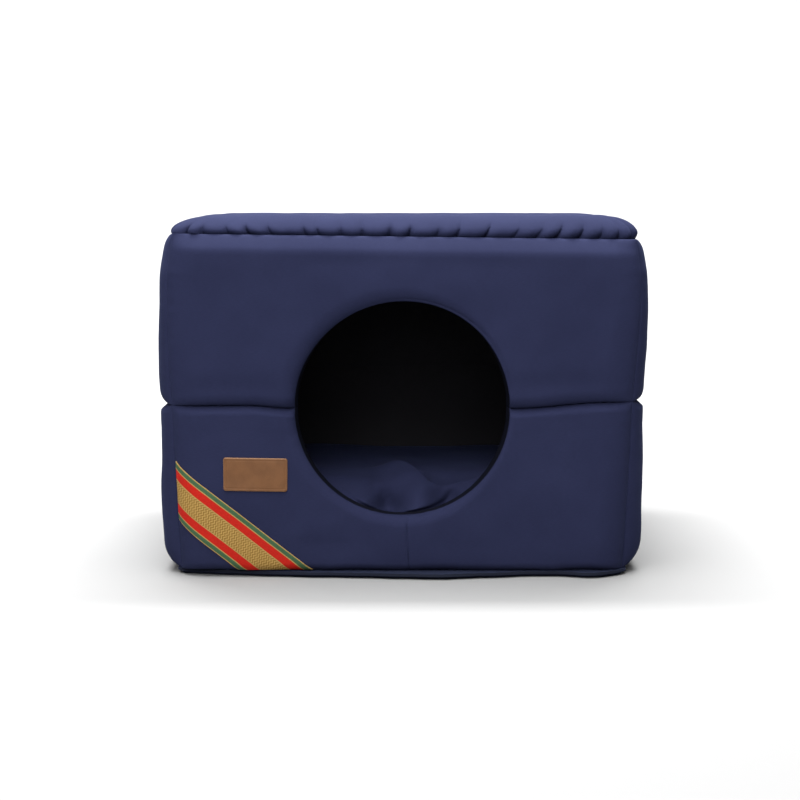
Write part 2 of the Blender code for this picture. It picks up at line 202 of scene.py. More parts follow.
CORNER = 0.2350
CORNER_LINE = (
    # height, distance out from the middle of the bed
    (0.0, 0.2265), (0.05, 0.2290), (0.10, 0.2315), (0.1775, 0.2345), (0.22, 0.2375),
    (0.27, 0.2398), (0.31, 0.2396), (0.335, 0.2365), (0.352, 0.2335),
)
INNER_CORNER = 0.2230
UPPER_FACE = 0.2515
LOWER_FACE = 0.2500
BASE_TOP = 0.0060
MIDDLE_SEAM = 0.1775
MIDDLE_SEAM_SLOPE = 0.0080
ROOF_SEAM = 0.3472
ROOF_SEAM_SLOPE = -0.0125
CENTRE_SEAM_TOP = 0.0040
CENTRE_SEAM_DRIFT = 0.0038
CENTRE_SEAM_DEPTH = 0.0016
CENTRE_SEAM_REACH = 0.004
SEAM_GAP = 0.00006
DOOR_RADIUS = 0.1095
DOOR_HEIGHT = 0.1727
RIM_DROP = 0.0035
RIM_REACH = 0.005
INNER_RIM_DROP = 0.0040
INNER_RIM_REACH = 0.013

# The middle seam dips to the door over these distances, left and right of it.
DIP_REACH_LEFT = 0.05
DIP_REACH_RIGHT = 0.10

# How the filling rounds a pad off: how far its cloth drops at each seam, and over which
# distance. A second, softer drop spreads wider. The turned edges of a seam drop sharply.
CORNER_REACH = 0.034
FULLNESS = 0.0170
SPREAD = 0.085
UPPER_FOOT_DROP = 0.0112
UPPER_FOOT_REACH = 0.0115
UPPER_FOOT_SPREAD_DROP = 0.0030
UPPER_EDGE_DROP = 0.0022
UPPER_EDGE_REACH = 0.003
LOWER_FOOT_DROP = 0.0120
LOWER_FOOT_REACH = 0.026
FRONT_FOOT_DROP = 0.0060
FRONT_FOOT_REACH = 0.008
LOWER_FOOT_SPREAD_DROP = 0.0026
LOWER_EDGE_DROP = 0.0046
LOWER_EDGE_REACH = 0.0028
FOOT_WAVE = 0.0030
HOLLOW_SPREAD = 0.03
EDGE_FADE = 0.002
INNER_BULGE = 0.0060
INNER_REACH = 0.04

# The upper row leans this far to the right, from this height on.
UPPER_LEAN = 0.0018
UPPER_LEAN_START = 0.20
UPPER_LEAN_REACH = 0.08

# Mesh columns and rows of a plain wall, and where its steps are bunched beside the seams.
SIDE_GRID = (120, 64)
SIDE_CORNER_STEPS = 0.018
SEAM_STEPS = 0.014

navy = woven(
    "navy cotton",
    dark=(0.0148, 0.0172, 0.0430),
    light=(0.0196, 0.0228, 0.0552),
    pitch=0.0006,
    depth=0.00012,
    sheen=0.03,
)
dark_inside = woven(
    "dark inner cotton",
    dark=(0.023, 0.022, 0.026),
    light=(0.030, 0.029, 0.034),
    pitch=0.0006,
    depth=0.0001,
    sheen=0.0,
)
# Painted shade: a near-black navy for the turned edge along the door's rim and each wall's foot, standing
# for the shadowed crease there.
painted_shade_edge = woven(
    "painted shade rim edge",
    dark=(0.0040, 0.0045, 0.0090),
    light=(0.0055, 0.0062, 0.0125),
    pitch=0.0006,
    depth=0.0001,
    sheen=0.0,
)


def roll(distance, reach):
    """A quarter round: 0 at an edge, 1 from the reach on."""
    left = 1.0 - min(max(distance / reach, 0.0), 1.0)
    return math.sqrt(1.0 - left * left)


def ease(share):
    """Like a roll, but leaves the edge at a slant."""
    left = 1.0 - min(max(share, 0.0), 1.0)
    return 1.0 - left * left


def smooth(share):
    share = min(max(share, 0.0), 1.0)
    return share * share * (3 - 2 * share)


def hump(at, middle, width):
    """1 at the middle, falling off smoothly on both sides."""
    return math.exp(-((at - middle) / width) ** 2)


def middle_seam(x, front):
    """Height of the seam between the two rows. At the front it dips to the door."""
    level = MIDDLE_SEAM + MIDDLE_SEAM_SLOPE * x
    if not front:
        return level
    past = smooth((abs(x) - DOOR_RADIUS) / (DIP_REACH_LEFT if x < 0 else DIP_REACH_RIGHT))
    return DOOR_HEIGHT + (level - DOOR_HEIGHT) * past


def roof_seam(x):
    return ROOF_SEAM + ROOF_SEAM_SLOPE * x


def centre_seam(height):
    """Where the seam under the door lies, left to right."""
    share = (DOOR_HEIGHT - DOOR_RADIUS - height) / (DOOR_HEIGHT - DOOR_RADIUS)
    return CENTRE_SEAM_TOP + CENTRE_SEAM_DRIFT * share


def corner_seam(height):
    """How far out a corner seam stands. It bows out upstairs and leans in near the floor."""
    for (low, start), (high, end) in zip(CORNER_LINE, CORNER_LINE[1:]):
        if height <= high:
            share = (height - low) / (high - low)
            return start + (end - start) * share
    return CORNER_LINE[-1][1]


def corner_rise(distance, drop):
    """The rounding of a corner that stands this far inside the faces: nearly a quarter round,
    with the seam drawn in a little."""
    left = 1 - min(max(distance / min(2.4 * drop, CORNER_REACH), 0.0), 1.0)
    rounding = (math.sqrt(1 - 0.5 * left * left) - math.sqrt(0.5)) / (1 - math.sqrt(0.5))
    return 0.22 * roll(distance, 0.008) + 0.78 * rounding


def shoulder(distance, slope, flat, reach):
    """How far a sloping edge lies below the face: a flat slope first, then an eased bend."""
    share = min(max((distance - flat) / reach, 0.0), 1.0)
    return slope * (max(flat - distance, 0.0) + reach * (0.5 - share + share**3 - share**4 / 2))


def puckers(run, away, pitch, reach, depth, seed):
    """Small uneven creases that run in from a seam: how far the cloth sinks there."""
    if away > 4 * reach:
        return 0.0
    stray = noise.noise((run * 23.0, seed, away * 9.0)) * 1.1
    wave = abs(math.sin(math.pi * (run / pitch + stray)))
    strength = 0.35 + 0.9 * abs(noise.noise((run * 31.0, seed + 5.0, 0.0)))
    return depth * strength * (1 - wave ** 0.7) * math.exp(-away / reach)


# Soft hollows in the front, as they lie in the photo: x, z, wide, high, depth.
FRONT_HOLLOWS = (
    (-0.170, 0.192, 0.045, 0.012, 0.0022),
    (0.160, 0.194, 0.050, 0.012, 0.0024),
    (0.000, 0.293, 0.075, 0.024, -0.0038),
    (-0.190, 0.255, 0.030, 0.060, 0.0010),
    (0.175, 0.270, 0.035, 0.050, 0.0012),
    (-0.060, 0.325, 0.050, 0.014, 0.0009),
    (0.095, 0.320, 0.045, 0.016, 0.0010),
    (0.130, 0.060, 0.060, 0.030, 0.0010),
    (-0.075, 0.030, 0.035, 0.016, 0.0012),
    (0.060, 0.028, 0.040, 0.016, 0.0014),
)


class Wall:
    """One storey of one wall, as seen from the front: x across, -y outwards."""

    def __init__(self, name, upper, turn):
        self.name = name
        self.upper = upper
        self.turn = turn
        self.front = turn == 0
        self.face = UPPER_FACE if upper else LOWER_FACE
        self.half = CORNER - SEAM_GAP / math.sqrt(2)
        self.seed = 10.0 * turn + (3.0 if upper else 0.0)

    def world_x(self, across):
        return across * math.cos(self.turn) + CORNER * math.sin(self.turn)

    def foot(self, across):
        if self.upper:
            return middle_seam(self.world_x(across), self.front) + SEAM_GAP / 2
        return BASE_TOP + SEAM_GAP + FOOT_WAVE * abs(noise.noise((across * 13.0, self.seed, 5.0)))

    def head(self, across):
        if self.upper:
            return roof_seam(self.world_x(across)) - SEAM_GAP / 2
        return middle_seam(self.world_x(across), self.front) - SEAM_GAP / 2

    def rises(self, across, height):
        """How full the pad is here, beside the corners and near its foot and head."""
        corner = corner_rise(self.half - abs(across), self.face - corner_seam(height))
        above, below = height - self.foot(across), self.head(across) - height
        thick = 1 + 0.30 * hump(across, 0.175, 0.06) + 0.15 * hump(across, -0.150, 0.06)
        if self.upper:
            low = UPPER_FOOT_DROP * thick * (1 - roll(above, UPPER_FOOT_REACH * thick))
            low += UPPER_FOOT_SPREAD_DROP * (1 - roll(above, SPREAD))
            high = shoulder(below, slope=0.88, flat=0.010, reach=0.012) + 0.0004 * (1 - roll(below, 0.05))
            turned_left = hump(across, -CORNER, 0.03)
            high += UPPER_EDGE_DROP * (1 - roll(below, UPPER_EDGE_REACH)) * (1 - 0.9 * turned_left)
            if not self.front:
                high = FULLNESS * (0.90 - 0.25 * roll(below, 0.014) - 0.65 * roll(below, 0.120))
        else:
            drop = FRONT_FOOT_DROP if self.front else LOWER_FOOT_DROP
            low = drop * (1 - roll(above, FRONT_FOOT_REACH if self.front else LOWER_FOOT_REACH))
            low += LOWER_FOOT_SPREAD_DROP * (1 - roll(above, SPREAD))
            high = shoulder(below, slope=0.92, flat=0.005, reach=0.007) + 0.0006 * (1 - roll(below, SPREAD))
            high += LOWER_EDGE_DROP * thick * (1 - roll(below, LOWER_EDGE_REACH))
            high -= 0.0030 * hump(below, 0.0120, 0.006)
        return corner, 1 - max(low, high) / FULLNESS

    def past_rim(self, across, height):
        return math.hypot(across, height - DOOR_HEIGHT) - DOOR_RADIUS

    def sink(self, across, height):
        """How far the cloth lies below the full shape: creases at the seams and soft hollows."""
        beside = max(self.half - abs(across), 0.0)
        above = max(height - self.foot(across), 0.0)
        below = max(self.head(across) - height, 0.0)
        seed = self.seed
        corner_seed = seed + math.copysign(1, across)
        total = puckers(height, beside, pitch=0.014, reach=0.010, depth=0.0012, seed=corner_seed)
        total += puckers(across, above, pitch=0.021, reach=0.012, depth=0.0010, seed=seed + 20)
        total += puckers(across, below, pitch=0.019, reach=0.012, depth=0.0012, seed=seed + 40)
        inward = min(1.0, beside / HOLLOW_SPREAD, above / HOLLOW_SPREAD, below / HOLLOW_SPREAD)
        total += 0.0011 * inward * noise.noise((across * 17.0, height * 22.0, seed))
        total += 0.0004 * inward * noise.noise((across * 60.0, height * 45.0, seed + 3))
        if not self.front:
            return total
        for x, z, wide, high, depth in FRONT_HOLLOWS:
            if self.upper == (z > MIDDLE_SEAM):
                total += depth * inward * hump(across, x, wide) * hump(height, z, high)
        rim = self.past_rim(across, height)
        around = math.atan2(height - DOOR_HEIGHT, across) * DOOR_RADIUS
        total += puckers(around, max(rim, 0.0), pitch=0.017, reach=0.006, depth=0.0007, seed=70.0)
        return total

    def outer(self, across, height):
        corner, seam = self.rises(across, height)
        depth = corner_seam(height)
        depth += (self.face - depth) * corner * seam
        edge = min(1.0, (self.half - abs(across)) / EDGE_FADE, (height - self.foot(across)) / EDGE_FADE)
        edge = max(min(edge, (self.head(across) - height) / EDGE_FADE), 0.0)
        depth -= self.sink(across, height) * edge
        if self.front:
            depth -= self.rim_fall(across, height)
        if self.front and not self.upper:
            beside = abs(across - centre_seam(height))
            depth -= CENTRE_SEAM_DEPTH * (1 - roll(beside, CENTRE_SEAM_REACH))
        return depth

    def rim_fall(self, across, height):
        """The cloth rolls in over the door's rim, most on the upper left; a sewn edge shows."""
        past = self.past_rim(across, height)
        turn = math.atan2(height - DOOR_HEIGHT, across)
        upper_left = (0.5 + 0.5 * math.cos(turn - math.radians(140))) ** 1.5
        upper_right = max(math.cos(turn - math.radians(52)), 0.0) ** 3
        below = hump(math.degrees(turn), -83, 36)
        ragged = 1 + 0.5 * noise.noise((turn * 5.0, 0.0, 3.0))
        deep = RIM_DROP + 0.0090 * upper_left + 0.0080 * below
        fall = deep * (1 - roll(past, RIM_REACH + 0.014 * upper_left + 0.007 * below * ragged))
        edging = 0.0012 * hump(past, 0.0026, 0.0009) - 0.0010 * hump(past, 0.0006, 0.0010)
        return fall + edging * upper_right

    def inner(self, across, height):
        corner = ease((self.half - abs(across)) / INNER_REACH)
        seam = ease(min(height - self.foot(across), self.head(across) - height) / INNER_REACH)
        depth = INNER_CORNER - INNER_BULGE * corner * seam
        if self.front:
            depth += INNER_RIM_DROP * (1 - roll(self.past_rim(across, height), INNER_RIM_REACH))
        return min(depth, INNER_CORNER)

    def point(self, across, height, inside):
        if inside:
            out, shift, power = self.inner(across, height), INNER_CORNER - CORNER, 2
        else:
            out, shift, power = self.outer(across, height), corner_seam(height) - CORNER, 4
            if self.upper:
                above = (height - self.foot(across)) / 0.004
                rim = min(max(self.past_rim(across, height) / 0.03, 0.0), 1.0) if self.front else 1
                height -= 0.0014 * above * math.exp(1 - above) * rim
        shift *= abs(across / self.half) ** power
        return Vector((across + shift * math.copysign(1, across), -out, height))


def leaned(spot):
    """The upper row leans a little to the right."""
    spot.x += UPPER_LEAN * smooth((spot.z - UPPER_LEAN_START) / UPPER_LEAN_REACH)
    return spot


def along(share, length, start, end):
    """Place on an edge of this length, with the steps bunched where the cloth rolls at its ends."""
    quarter = math.pi / 2
    total = (start + end) * quarter + length - start - end
    walked = share * total
    if walked < start * quarter:
        return start * (1 - math.cos(walked / start))
    if total - walked < end * quarter:
        return length - end * (1 - math.cos((total - walked) / end))
    return start + walked - start * quarter


def pad(columns, rows, place, lined=False):
    """A closed pad from a flat grid: place(u, v, inside) gives each corner and its cloth map.
    A lined pad has the second material on its inner side and the third, a near-black painted shade, along
    its first edge, which is the foot of a plain wall and the door's rim in the front."""
    bm = bmesh.new()
    bmesh.ops.create_grid(bm, x_segments=columns, y_segments=rows, size=0.5)
    outside = list(bm.verts)
    grown = bmesh.ops.extrude_face_region(bm, geom=bm.faces[:])
    inside = [item for item in grown["geom"] if isinstance(item, bmesh.types.BMVert)]
    bm.verts.index_update()
    inner, first = set(inside), {vert for vert in bm.verts if vert.co.y < -0.499}
    cloth = {}
    for verts, is_inside in ((outside, False), (inside, True)):
        for vert in verts:
            vert.co, cloth[vert.index] = place(vert.co.x + 0.5, vert.co.y + 0.5, is_inside)
    layer = bm.loops.layers.uv.new("cloth")
    for face in bm.faces:
        # The strip along the first edge takes the painted shade.
        if lined and first.issuperset(face.verts):
            face.material_index = 2
        elif lined and inner.issuperset(face.verts):
            face.material_index = 1
        for loop in face.loops:
            loop[layer].uv = cloth[loop.vert.index]
    bmesh.ops.recalc_face_normals(bm, faces=bm.faces)
    return bm


def stand(made, node):
    """The pad stands for its CAD node, which it hides, and rides on the root body."""
    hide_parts(node)
    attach(made, "root")


def stand_wall(name, columns, rows, place):
    made = finished(name, pad(columns, rows, place, lined=True), navy, 70)
    made.data.materials.append(dark_inside)
    # The third material is the painted shade along the rim and the foot.
    made.data.materials.append(painted_shade_edge)
    stand(made, name)


for side, quarter in (("right", 1), ("back", 2), ("left", 3)):
    for storey in ("lower", "upper"):
        wall = Wall(side + "_" + storey, storey == "upper", quarter * math.pi / 2)

        def place(u, v, inside):
            across = along(u, 2 * wall.half, SIDE_CORNER_STEPS, SIDE_CORNER_STEPS) - wall.half
            foot, head = wall.foot(across), wall.head(across)
            height = foot + along(v, head - foot, SEAM_STEPS, SEAM_STEPS)
            spin = Matrix.Rotation(wall.turn, 3, "Z")
            return leaned(spin @ wall.point(across, height, inside)), (across, height)

        stand_wall(wall.name, *SIDE_GRID, place)


# Front panels: the same pads, one above and two below, cut round the door. Their cloth
# rolls over the rim, and a seam under the door joins the lower two.
FRONT_ROWS = 72
UPPER_COLUMNS = 300
LOWER_COLUMNS = 160
OUTLINE_STEPS = 0.016
RIM_STEPS = 0.009
SEAM_BLEND = 0.05
FOOT_BLEND = 0.02


def door_panel(name, upper, corners, columns):
    wall = Wall(name, upper, 0.0)
    rim = Vector((0.0, DOOR_HEIGHT))
    corners = [Vector(corner) for corner in corners]
    legs = [(end - start).length for start, end in zip(corners, corners[1:])]
    seam_side = 1 if upper else -1
    counts = [round(columns * leg / sum(legs)) for leg in legs]
    columns = sum(counts)

    def edge_point(u):
        """u from 0 to 1 along the panel's outline; corners fall on whole steps."""
        step = u * columns
        for start, end, leg, count in zip(corners, corners[1:], legs, counts):
            if step <= count + 1e-6:
                return start.lerp(end, along(step / count, leg, OUTLINE_STEPS, OUTLINE_STEPS) / leg)
            step -= count
        return corners[-1]

    def place(u, v, inside):
        ray = edge_point(u) - rim
        reach = DOOR_RADIUS + along(v, ray.length - DOOR_RADIUS, RIM_STEPS, SEAM_STEPS)
        spot = rim + ray.normalized() * reach
        across = min(max(spot.x, -wall.half), wall.half)
        away = max(0.0, 1 - abs(spot.y - DOOR_HEIGHT) / SEAM_BLEND)
        seam = (wall.foot if upper else wall.head)(across)
        height = spot.y + (seam - DOOR_HEIGHT - seam_side * SEAM_GAP / 2) * away
        if not upper:
            near = max(0.0, 1 - (height - foot_left[1]) / FOOT_BLEND)
            height += (wall.foot(across) - foot_left[1]) * near
        height = min(max(height, wall.foot(across)), wall.head(across))
        return leaned(wall.point(across, height, inside)), (across, height)

    stand_wall(name, columns, FRONT_ROWS, place)
    return wall


half = Wall("", True, 0.0).half
seam_left, seam_right = (-half, DOOR_HEIGHT), (half, DOOR_HEIGHT)
foot_left, foot_right = (-half, BASE_TOP + SEAM_GAP), (half, BASE_TOP + SEAM_GAP)
top_left, top_right = (-half, roof_seam(-half)), (half, roof_seam(half))
foot_centre = centre_seam(BASE_TOP)
foot_centre_left = (foot_centre - SEAM_GAP / 2, foot_left[1])
foot_centre_right = (foot_centre + SEAM_GAP / 2, foot_right[1])
door_panel("front_upper", True, (seam_right, top_right, top_left, seam_left), UPPER_COLUMNS)
left_outline = (seam_left, foot_left, foot_centre_left)
front_left = door_panel("front_lower_left", False, left_outline, LOWER_COLUMNS)
right_outline = (foot_centre_right, foot_right, seam_right)
door_panel("front_lower_right", False, right_outline, LOWER_COLUMNS)


# Roof: a square pad of the same cotton, gathered all round into the wall seam, so
# that short folds fan outwards from the seam up over its rolled edge.
ROOF_HALF = 0.2385
ROOF_TOP = 0.3678
ROOF_CORNER_RADIUS = 0.026
ROOF_ROLL = 0.045
ROOF_SIDE_ROLL_LESS = 0.011
ROOF_GRID = 200
GATHERS = 20
GATHER_REACH = 0.026
SWELL_SHARE = 0.24
SWELL_AWAY = 0.010
SWELL_WIDTH = 0.0055
TUCK = 0.0066
TUCK_REACH = 0.0078
HANG = 0.0024
HANG_HEIGHT = 0.004
MERGED_CORNER = 0.235
UNDER_INSET = 0.016
UNDER_DROP = 0.0120
UNDER_REACH = 0.09

# Each gather: its place round the roof, how deep and how tall its fold is, and how wide.
shuffle = random.Random(5)
gathers = []
for k in range(4 * GATHERS):
    middle = (k + 0.5 + shuffle.uniform(-0.28, 0.28)) / GATHERS
    deep = shuffle.choice((0.0038, 0.0052, 0.0066, 0.0080)) * shuffle.uniform(0.85, 1.15)
    tall = shuffle.choice((0.009, 0.012, 0.016, 0.022)) * shuffle.uniform(0.85, 1.15)
    gathers.append((middle, deep, tall, shuffle.uniform(0.0015, 0.0028)))


def bunched(side):
    """Grid steps along one side of the roof, closer together at its gathers."""
    fine = 4000
    weights = []
    for k in range(fine):
        at = side + (k + 0.5) / fine
        near = min(abs(at - middle) for middle, deep, tall, wide in gathers) * 2 * ROOF_HALF
        weights.append(1 + 2.2 * hump(near, 0.0, 0.0032))
    total, walked, places = sum(weights), 0.0, [0.0]
    for k, weight in enumerate(weights):
        walked += weight
        while walked >= total * len(places) / ROOF_GRID - 1e-9:
            places.append((k + 1) / fine)
    return places


bunches = [bunched(side) for side in range(4)]


def rounded_square(half, radius, turn):
    """Point and outward direction on a rounded square. Each side takes one unit of turn."""
    straight = half - radius
    run = (turn % 1.0 - 0.5) * 2 * (straight + radius * math.pi / 4)
    angle = max(abs(run) - straight, 0.0) / radius
    sign = -1 if run < 0 else 1
    reach = min(abs(run), straight) + radius * math.sin(angle)
    spot = Vector((sign * reach, -straight - radius * math.cos(angle), 0))
    way = Vector((sign * math.sin(angle), -math.cos(angle), 0))
    spin = Matrix.Rotation(math.floor(turn) * math.pi / 2, 3, "Z")
    return spin @ spot, spin @ way


def ring_turn(u, v):
    """How far out a grid point lies, 0 to 1, and how far round, 0 to 4."""
    out = max(abs(u), abs(v), 1e-9)
    if v <= -out + 1e-9:
        return out, 0 + (u / out + 1) / 2
    if u >= out - 1e-9:
        return out, 1 + (v / out + 1) / 2
    if v >= out - 1e-9:
        return out, 2 + (1 - u / out) / 2
    return out, (3 + (1 - v / out) / 2) % 4


def gather_at(turn, rise):
    """How far the folds pull the roof's edge in, this far round and this high above the seam."""
    total, closed = 0.0, 0.0
    for middle, deep, tall, wide in gathers:
        beside = abs(((turn - middle + 2) % 4 - 2) * 2 * ROOF_HALF)
        if beside < GATHER_REACH:
            sharp = math.exp(-beside / wide)
            swell = SWELL_SHARE * hump(beside, SWELL_AWAY, SWELL_WIDTH)
            total += deep * (sharp - swell) * hump(rise, 0.0, tall)
            closed = max(closed, sharp)
    return total, closed


def roof_ring(inset, turn):
    """Point and outward direction on the roof's outline, drawn in by the inset."""
    half = ROOF_HALF - inset
    return rounded_square(half, ROOF_CORNER_RADIUS * half / ROOF_HALF, turn)


def roof_place(u, v, inside):
    out, turn = ring_turn(2 * u - 1, 2 * v - 1)
    side = math.floor(turn)
    step = (turn - side) * ROOF_GRID
    low = min(int(step), ROOF_GRID - 1)
    start, end = bunches[side][low], bunches[side][low + 1]
    at = side + start + (end - start) * (step - low)
    turn += (at - turn) * smooth((out - 0.3) / 0.5)
    if inside:
        inset = UNDER_INSET + (1 - out) * (ROOF_HALF - UNDER_INSET)
        spot, way = roof_ring(inset, turn)
        spot.z = roof_seam(spot.x) + SEAM_GAP / 2 - UNDER_DROP * roll(inset - UNDER_INSET, UNDER_REACH)
        return spot, (spot.x, spot.y)
    inset = along(1 - out, ROOF_HALF, ROOF_ROLL, 0.001)
    rise = ROOF_ROLL * math.asin(min(inset / ROOF_ROLL, 1.0))
    pull, closed = gather_at(turn, rise)
    away = turn % 1.0 - 0.5
    lean = away * (inset / (ROOF_HALF - inset)) + 0.014 * away * roll(rise, 0.016) / ROOF_HALF
    turn += lean * (1 - (2 * away) ** 4) * (1 - smooth((inset - 0.020) / 0.060))
    spot, way = roof_ring(inset, turn)
    lift = roll(inset, ROOF_ROLL - ROOF_SIDE_ROLL_LESS * abs(way.x))
    seam = roof_seam(spot.x) + SEAM_GAP / 2
    merged = math.exp(-(((spot.x + MERGED_CORNER) ** 2 + (spot.y + MERGED_CORNER) ** 2) / 0.0012))
    tuck = TUCK * (1 - roll(rise, TUCK_REACH)) * (1 - 0.8 * merged)
    hang = HANG * (rise / HANG_HEIGHT) * math.exp(1 - rise / HANG_HEIGHT) * (1 - closed) * (1 - merged)
    spot -= way * (pull * (1 - 0.5 * lift) + tuck)
    soft = 0.0012 * noise.noise((spot.x * 11, spot.y * 11, 4.0)) * smooth(inset / 0.03)
    soft += 0.0005 * noise.noise((spot.x * 38, spot.y * 38, 9.0)) * smooth(inset / 0.02)
    spot.z = seam + (ROOF_TOP - seam) * lift - pull * 0.4 * lift + soft - hang
    spot.x += 0.0015 + 0.0030 * lift + 0.006 * spot.x
    return spot, (spot.x * 1.05, spot.y * 1.05)


roof = finished("roof", pad(ROOF_GRID, ROOF_GRID, roof_place), navy, 70)
stand(roof, "roof")


# Base: the bottom panel, a thin pad of the walls' matt navy cotton sewn under the lower walls, its colour
# painted much darker: painted shade for the shadow under the walls.
# Its front edge is pushed out a little by the filling, in soft waves.
BASE_HALF = 0.2332
BASE_CORNER_RADIUS = 0.016
BASE_INNER_INSET = 0.0050
BOW = 0.0245
BOW_HALF = 0.216
BULGES = (
    # x, width, how far out
    (0.035, 0.045, 0.0090),
    (0.196, 0.030, 0.0190),
)
BASE_WAVE = 0.0034
BASE_EDGE_ROLL = 0.0035
BASE_EDGE_IN = 0.0012
BASE_EDGE_DOWN = 0.0024
BASE_EDGE_UP = 0.0020
# Painted shade: the walls' navy made much darker for the shadow the base lies in.
base_navy_painted_shade = woven(
    "base cotton painted shade",
    dark=(0.0075, 0.0088, 0.0150),
    light=(0.0115, 0.0135, 0.0225),
    pitch=0.0009,
    depth=0.0001,
    sheen=0.1,
)


def base_place(u, v, inside):
    out, turn = ring_turn(2 * u - 1, 2 * v - 1)
    half = BASE_HALF * along(out, 1.0, 0.001, 0.03)
    inset = (BASE_INNER_INSET if inside else 0.0) * smooth((out - 0.9) / 0.1)
    spot, way = rounded_square(half - inset * out, max(BASE_CORNER_RADIUS * out - inset, 0.0001), turn)
    if spot.y < 0:
        bow = BOW * max(0.0, 1 - (spot.x / BOW_HALF) ** 2)
        bow += sum(far * hump(spot.x, x, wide) for x, wide, far in BULGES)
        bow += BASE_WAVE * noise.noise((spot.x * 26, 0.0, 7.0))
        spot.y -= bow * (spot.y / BASE_HALF) ** 2
    spot -= way * 0.0008 * abs(noise.noise((turn * 20, 2.0, 0.0))) * smooth((out - 0.9) / 0.1)
    edge = BASE_HALF * (1 - out)
    turned = 1 - roll(edge, BASE_EDGE_ROLL)
    spot -= way * BASE_EDGE_IN * turned
    spot.z = BASE_EDGE_UP * turned if inside else BASE_TOP - BASE_EDGE_DOWN * turned
    return spot, (spot.x, spot.y)


base = finished("base", pad(120, 90, base_place), base_navy_painted_shade, 50)
stand(base, "base")


# Cushion: a loose square pillow of the same cotton with a seam round its waist, its colour painted about a
# quarter lighter: painted light for light that does not reach it through the door.
# CAD shape is blown up as cloth, then its seam, dips and ridge are pressed in.
CUSHION_SEAM = 0.0440
CUSHION_SEAM_WIDTH = 0.0035
CUSHION_SEAM_DEPTH = 0.0030
CUSHION_MIDDLE = Vector((0, 0, 0.045))
CUSHION_SCALE = (0.985, 0.985, 0.96)
CUSHION_FOOT = 0.0065
CUSHION_FRONT_INSIDE = 0.0008 - INNER_CORNER
CUSHION_FRONT_OVER_RIM = -0.2360
PUFF_LIMIT = 0.004
# Painted light: the walls' navy made about a quarter lighter, standing for light that does not reach the
# cushion inside the door.
cushion_navy_painted_light = woven(
    "cushion cotton painted light",
    dark=(0.0190, 0.0218, 0.0535),
    light=(0.0250, 0.0288, 0.0690),
    pitch=0.0006,
    depth=0.00012,
    sheen=0.03,
)


def cushion_start():
    """A slightly smaller copy of the CAD cushion."""
    bm = bmesh.new()
    bm.from_mesh(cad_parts["cushion"].data)
    bmesh.ops.remove_doubles(bm, verts=bm.verts, dist=0.00001)
    bmesh.ops.recalc_face_normals(bm, faces=bm.faces)
    bmesh.ops.translate(bm, verts=bm.verts, vec=-CUSHION_MIDDLE)
    bmesh.ops.scale(bm, verts=bm.verts, vec=CUSHION_SCALE)
    bmesh.ops.translate(bm, verts=bm.verts, vec=CUSHION_MIDDLE)
    return finished("cushion", bm, cushion_navy_painted_light)


def settle(made):
    """Swaps an object's mesh for what its modifiers make of it."""
    graph = bpy.context.evaluated_depsgraph_get()
    mesh = bpy.data.meshes.new_from_object(made.evaluated_get(graph))
    made.modifiers.clear()
    made.data = mesh


cushion = cushion_start()
remesh = cushion.modifiers.new("even mesh", "REMESH")
remesh.mode = "VOXEL"
remesh.voxel_size = 0.0055
remesh.use_smooth_shade = True
settle(cushion)
before = [vert.co.copy() for vert in cushion.data.vertices]
blown = cushion.modifiers.new("filling", "CLOTH")
blown.settings.quality = 5
blown.settings.use_pressure = True
blown.settings.uniform_pressure_force = 4.0
blown.settings.effector_weights.gravity = 0.0
blown.settings.tension_stiffness = 12
blown.settings.compression_stiffness = 12
blown.settings.bending_stiffness = 0.3
for moment in range(1, 21):
    scene.frame_set(moment)
settle(cushion)
scene.frame_set(1)
for vert, old in zip(cushion.data.vertices, before):
    moved = vert.co - old
    if moved.length > PUFF_LIMIT:
        vert.co = old + moved.normalized() * PUFF_LIMIT


# The fold over the top runs through these places, x and y, and its ridge is this high.
FOLD_HEIGHT = 0.0090
TOP_DROP = 0.0050
FOLD_LINE = [
    Vector(point)
    for point in (
        (-0.030, -0.095), (-0.006, -0.112), (0.010, -0.140), (0.026, -0.168),
        (0.040, -0.174), (0.064, -0.166), (0.100, -0.142),
    )
]


# Dents pressed into the front edge: x, z, wide, high, deep.
DENTS = (
    (-0.013, 0.070, 0.019, 0.012, 0.0380),
    (0.044, 0.072, 0.019, 0.011, 0.0300),
    (-0.075, 0.060, 0.030, 0.010, 0.0030),
)


def beside_fold(x, y):
    """How far a place lies from the fold's line, positive in front of it, and how far along it."""
    spot, walked, best = Vector((x, y)), 0.0, None
    for start, end in zip(FOLD_LINE, FOLD_LINE[1:]):
        leg = end - start
        share = min(max((spot - start).dot(leg) / leg.length_squared, 0.0), 1.0)
        off = spot - start.lerp(end, share)
        if best is None or off.length < abs(best[0]):
            side = -1 if leg.x * off.y - leg.y * off.x > 0 else 1
            best = (side * off.length, walked + share * leg.length)
        walked += leg.length
    return best[0], best[1] / walked


def rim_height(x):
    """Height of the door's rim here, and a height out of reach beside the door."""
    if abs(x) >= DOOR_RADIUS:
        return 1.0
    return DOOR_HEIGHT - math.sqrt(DOOR_RADIUS**2 - x * x)


